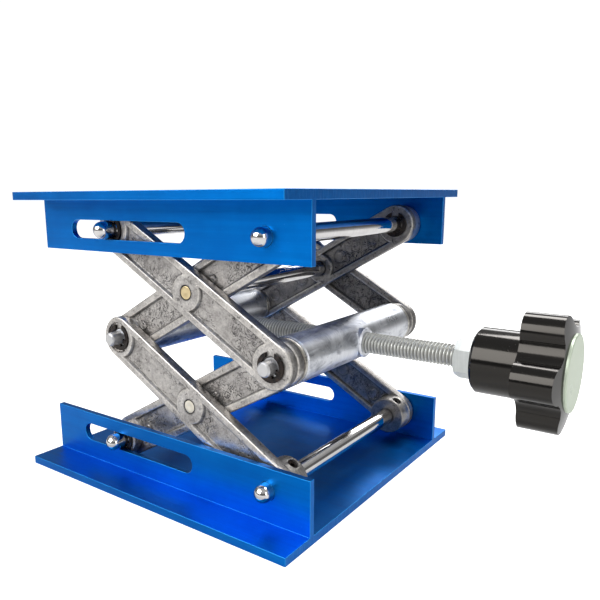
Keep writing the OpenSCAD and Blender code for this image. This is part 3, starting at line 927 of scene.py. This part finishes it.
# One turn of the thread, as (share of the pitch, share of the thread's depth)
THREAD_FORM = ((0.0, 0.0), (0.10, 0.06), (0.42, 1.0), (0.58, 1.0), (0.90, 0.06))
THREAD_RUN_OUT = 0.8 * PITCH    # the thread fades to its root over this length
THREAD_SHARP = 50.0             # degrees
THREAD_GAP = 0.4 * MM           # from the thrust washer to the thread
THREAD_IN_KNOB = 1.0 * MM
JOURNAL_R = 2.2 * MM            # the screw's plain end
JOURNAL_IN_THREAD = 1.5 * MM
LOCK_GROOVE = 0.4 * MM


def thread_mesh(x0, x1, count=56):
    """A helical thread from x0 to x1 about the screw's axis."""
    points, faces, rows = [], [], []
    for turn in range(-1, int((x1 - x0) / PITCH) + 3):
        for share, up in THREAD_FORM:
            row = []
            for j in range(count + 1):
                x = x0 + (turn + share + j / count) * PITCH
                fade = min(1.0, max(0.0, min(x - x0, x1 - x) / THREAD_RUN_OUT))
                radius = THREAD_ROOT + (THREAD_TOP - THREAD_ROOT) * up * fade
                angle = -2 * math.pi * j / count
                row.append(len(points))
                y, z = radius * math.cos(angle), SCREW_Z + radius * math.sin(angle)
                points.append((min(max(x, x0), x1), y, z))
            rows.append(row)
    for a, b in zip(rows, rows[1:]):
        faces += [(a[j], b[j], b[j + 1], a[j + 1]) for j in range(count)]
    return points, faces


def journal_outline(washer_x):
    """The screw's plain end, with a groove for the lock ring, as far as the thread's core."""
    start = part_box("lead_screw")[0].x
    ring_low, ring_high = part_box("screw_lock_ring")
    core = THREAD_ROOT - 0.02 * MM
    end = washer_x + JOURNAL_IN_THREAD
    return [(0, start), (JOURNAL_R - 0.5 * MM, start), (JOURNAL_R - 0.1 * MM, start + 0.35 * MM),
            (JOURNAL_R, ring_low.x - 0.05 * MM), (JOURNAL_R, ring_low.x),
            (JOURNAL_R - LOCK_GROOVE, ring_low.x), (JOURNAL_R - LOCK_GROOVE, ring_high.x),
            (JOURNAL_R, ring_high.x), (JOURNAL_R, washer_x),
            (core, washer_x + 0.01 * MM), (core, end), (0, end)]


WASHER_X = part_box("screw_thrust_washer")[1].x
THREAD_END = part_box("knob")[0].x + THREAD_IN_KNOB
thread = mesh_object("screw_thread", *thread_mesh(WASHER_X + THREAD_GAP, THREAD_END),
                     SCREW_STEEL, THREAD_SHARP)
weld_close(thread, THREAD_SHARP)
journal = lathe("screw_journal", (0, 0, SCREW_Z), X_AXIS, journal_outline(WASHER_X), SCREW_STEEL, 64)
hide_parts("lead_screw")
for piece in (thread, journal):
    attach(piece, "screw")

clean_cad("jam_nut", NUT_ZINC, 0.10, 28.0)
clean_cad("knob", KNOB_BLACK, 0.45, 40.0)
clean_cad("knob_insert", BRASS, 0.05)
clean_cad("knob_cap", CAP, 0.12)


# ---- Floor, lights, world and camera ----

FLOOR_SIZE = 6.0
MIDDLE = Vector((0.01, 0.0, 0.045))     # the point that the lights face
SOFT_LIGHT = 0.20                       # strength of the world's even light
BACKDROP = 1.05                         # its strength to the camera
# What reflections see of the world, by the height of their direction: (height, strength)
SKY = ((0.0, 0.50), (0.06, 0.20), (0.26, 0.10), (0.42, 0.35), (0.70, 0.55), (1.0, 0.45))

# The camera: place in mm, turn from -Y towards +X, height and roll in degrees, and a shifted lens
CAMERA_AT = Vector((125.73, -156.92, 85.33)) * MM
CAMERA_AZ, CAMERA_EL, CAMERA_ROLL = (math.radians(a) for a in (36.435, 11.236, -0.362))
LENS, SENSOR = 37.32, 36.0
SHIFT_X, SHIFT_Y = 0.0457, 0.0310
NEAREST, FARTHEST = 0.01, 20.0


def add_floor():
    half = FLOOR_SIZE / 2
    corners = [(-half, -half, 0), (half, -half, 0), (half, half, 0), (-half, half, 0)]
    mesh_object("floor", corners, [(0, 1, 2, 3)], FLOOR)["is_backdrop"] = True


def softbox(name, at, size, power):
    """A rectangular light that faces the middle of the object."""
    light = bpy.data.lights.new(name, "AREA")
    light.shape = "RECTANGLE"
    light.size, light.size_y = size
    light.energy = power
    obj = bpy.data.objects.new(name, light)
    bpy.context.scene.collection.objects.link(obj)
    obj.location = at
    obj.rotation_mode = "QUATERNION"
    obj.rotation_quaternion = (Vector(at) - MIDDLE).to_track_quat("Z", "Y")


def studio_world():
    """White to the camera, even soft light, and a dark room with a bright ceiling to reflections."""
    world = bpy.data.worlds.new("studio")
    world.use_nodes = True
    w = Nodes(world.node_tree)
    paint = w.tree.nodes["Background"]

    def choose(fac, a, b):
        n = w.node("ShaderNodeMix", data_type="FLOAT")
        for i, value in ((0, fac), (2, a), (3, b)):
            w.put(n.inputs[i], value)
        return n.outputs[0]

    split = w.node("ShaderNodeSeparateXYZ")
    w.link(w.node("ShaderNodeTexCoord").outputs["Generated"], split.inputs[0])
    sky = w.node("ShaderNodeValToRGB")
    w.link(split.outputs[2], sky.inputs[0])
    sky.color_ramp.interpolation = "EASE"
    while len(sky.color_ramp.elements) < len(SKY):
        sky.color_ramp.elements.new(0.5)
    for element, (height, strength) in zip(sky.color_ramp.elements, SKY):
        element.position = height
        element.color = (strength, strength, strength, 1)
    rays = w.node("ShaderNodeLightPath")
    unseen = choose(rays.outputs["Is Glossy Ray"], SOFT_LIGHT, sky.outputs["Color"])
    w.link(choose(rays.outputs["Is Camera Ray"], unseen, BACKDROP), paint.inputs["Strength"])
    paint.inputs["Color"].default_value = (1.0, 1.0, 1.0, 1.0)
    bpy.context.scene.world = world


def add_camera():
    back = Vector((math.sin(CAMERA_AZ) * math.cos(CAMERA_EL), -math.cos(CAMERA_AZ) * math.cos(CAMERA_EL),
                   math.sin(CAMERA_EL)))
    level = UNITS[2].cross(back).normalized()
    upright = back.cross(level)
    right = level * math.cos(CAMERA_ROLL) + upright * math.sin(CAMERA_ROLL)
    up = upright * math.cos(CAMERA_ROLL) - level * math.sin(CAMERA_ROLL)
    data = bpy.data.cameras.new("camera")
    data.lens, data.sensor_width = LENS, SENSOR
    data.shift_x, data.shift_y = SHIFT_X, SHIFT_Y
    data.clip_start, data.clip_end = NEAREST, FARTHEST
    camera = bpy.data.objects.new("camera", data)
    bpy.context.scene.collection.objects.link(camera)
    camera.matrix_world = Matrix.Translation(CAMERA_AT) @ Matrix((right, up, back)).transposed().to_4x4()
    bpy.context.scene.camera = camera


add_floor()
softbox("key", at=(-0.34, -0.76, 0.58), size=(0.85, 0.70), power=9.6)
softbox("overhead", at=(0.12, 0.28, 0.80), size=(0.60, 0.26), power=5.5)
softbox("right_fill", at=(0.85, -0.25, 0.30), size=(0.30, 0.50), power=1.4)
softbox("back_rim", at=(-0.10, 0.85, 0.45), size=(0.60, 0.25), power=2.0)
studio_world()
bpy.context.scene.view_settings.view_transform = "Standard"
add_camera()

low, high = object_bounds()
